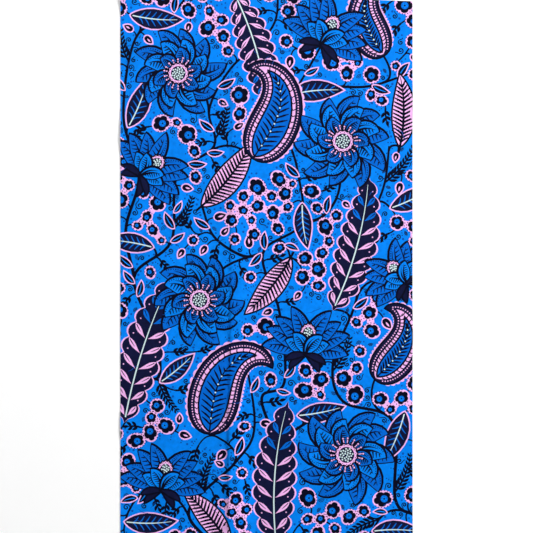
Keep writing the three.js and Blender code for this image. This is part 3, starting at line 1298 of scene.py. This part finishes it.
def dyed_cotton(name, steps, unevenness):
    """A dye on the waxed cotton. unevenness is how far its colour wanders from place to place."""
    material = bpy.data.materials.new(name)
    material.use_nodes = True
    tree = material.node_tree
    shader = tree.nodes["Principled BSDF"]
    place = add(tree, "ShaderNodeTexCoord", -1300, 0, {}).outputs["Object"]
    broad = clouds(tree, place, *BROAD_CLOUDS, -900, 420)
    fine = clouds(tree, place, *FINE_CLOUDS, -900, 180)

    colour = np.array(as_light(steps)) / LIT_BY
    shader.inputs["Base Color"].default_value = (*colour, 1)
    if unevenness:
        tint = add(tree, "ShaderNodeValToRGB", -450, 250, {}, Fac=product(tree, broad, fine, -650, 300))
        for element, position, side in zip(tint.color_ramp.elements, TINT_SPAN, (-1, 1)):
            element.position = position
            element.color = (*np.clip(colour * (1 + side * unevenness), 0, 1), 1)
        tree.links.new(tint.outputs["Color"], shader.inputs["Base Color"])

    rough = add(tree, "ShaderNodeMapRange", -450, -60, {}, Value=broad, **ROUGH)
    bump = add(tree, "ShaderNodeBump", -250, -300, {}, Height=weave(tree, place), **BUMP)
    connect(tree, shader, {"Roughness": rough.outputs["Result"], "Normal": bump.outputs["Normal"]})
    connect(tree, shader, {"Specular_IOR_Level": GLOSS, "Sheen_Weight": SHEEN, "Sheen_Roughness": 0.5})
    return material


# %% a finish for every dye
UNEVENNESS = {
    "azure": 0.13,
    "petal_blue": 0.14,
    "deep_blue": 0.0,
    "indigo": 0.25,
    "line": 0.0,
    "pink": 0.09,
    "mint": 0.0,
}
for dye, unevenness in UNEVENNESS.items():
    cloth_mesh.materials.append(dyed_cotton(f"cotton_{dye}", DYES[dye], unevenness))
cloth_mesh.polygons.foreach_set("material_index", cloth_dye.astype(np.int32))
cloth_mesh.update()
print("finishes:", [m.name for m in cloth_mesh.materials])

# %% the cloth takes its place
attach(cloth, "root")
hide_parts("cloth_panel")

# %% [markdown]
# ## Table and light
# The table is a plain white board that sweeps up into a pale wall all round, so that no horizon shows
# behind the cloth from any side. Most of the light comes from one soft lamp low on the right, because only
# raking light picks out a crease three millimetres high. A weaker lamp at the far left evens out the
# brightness. Neither is mirrored straight up into the camera, which would wash the dark dyes out.

# %% the table and its sweep
TABLE_DROP = 0.00005  # just under the cloth, so that the two surfaces don't flicker into each other
SWEEP = (
    # radius, height
    (3.4, 0),
    (4.2, 0.06),
    (4.9, 0.25),
    (5.4, 0.6),
    (5.7, 1.1),
    (5.8, 1.8),
    (5.8, 5.0),
)
SWEEP_SIDES = 64

sweep_points = [(0, 0, 0)]
sweep_faces = []
for ring, (radius, up) in enumerate(SWEEP):
    for n in range(SWEEP_SIDES):
        sweep_points.append((*(radius * toward(360 * n / SWEEP_SIDES)), up))
        here = 1 + ring * SWEEP_SIDES + n
        beside = 1 + ring * SWEEP_SIDES + (n + 1) % SWEEP_SIDES
        face = (here - SWEEP_SIDES, here, beside, beside - SWEEP_SIDES) if ring else (0, here, beside)
        sweep_faces.append(face)
table_mesh = bpy.data.meshes.new("table")
table_mesh.from_pydata(sweep_points, [], sweep_faces)
table_mesh.shade_smooth()
table = bpy.data.objects.new("table", table_mesh)
table.location.z = -TABLE_DROP
bpy.context.scene.collection.objects.link(table)
print("table:", len(sweep_faces), "faces")

# %% its white board
BOARD_WHITE, WALL_GREY = 0.98, 0.45  # a duller wall sends less light back under the flanks of the crease
board = bpy.data.materials.new("white_board")
board.use_nodes = True
board_tree = board.node_tree
board_place = add(board_tree, "ShaderNodeTexCoord", -900, 250, {}).outputs["Object"]
away = add(board_tree, "ShaderNodeVectorMath", -650, 250, {"operation": "LENGTH"}, Vector=board_place)
fade = {"From_Min": SWEEP[0][0], "From_Max": SWEEP[-1][0], "To_Min": BOARD_WHITE, "To_Max": WALL_GREY}
fade["Value"] = away.outputs["Value"]
white = add(board_tree, "ShaderNodeMapRange", -400, 250, {"interpolation_type": "SMOOTHSTEP"}, **fade)
board_look = {"Base_Color": white.outputs["Result"], "Roughness": 0.9, "Specular_IOR_Level": 0.1}
connect(board_tree, board_tree.nodes["Principled BSDF"], board_look)
table_mesh.materials.append(board)

# %% the lamps
LAMPS = (
    # name, x, y, z, side, watts
    ("key_lamp", 4.2, 1.8, 1.7, 1.5, 465),
    ("fill_lamp", -1.6, 1.9, 2.4, 1.4, 50),
)
ROOM_LIGHT = 0.12  # a little light from all round

for name, x, y, z, side, watts in LAMPS:
    lamp_data = bpy.data.lights.new(name, "AREA")
    lamp_data.shape = "SQUARE"
    lamp_data.size = side
    lamp_data.energy = watts
    lamp = bpy.data.objects.new(name, lamp_data)
    lamp.location = (x, y, z)
    lamp.rotation_euler = (-lamp.location).to_track_quat("-Z", "Y").to_euler()
    bpy.context.scene.collection.objects.link(lamp)

world = bpy.data.worlds.new("room")
world.use_nodes = True
room = world.node_tree.nodes["Background"]
connect(world.node_tree, room, {"Color": (1, 1, 1, 1), "Strength": ROOM_LIGHT})
bpy.context.scene.world = world
bpy.context.scene.view_settings.view_transform = "Standard"
bpy.context.scene.view_settings.look = "None"
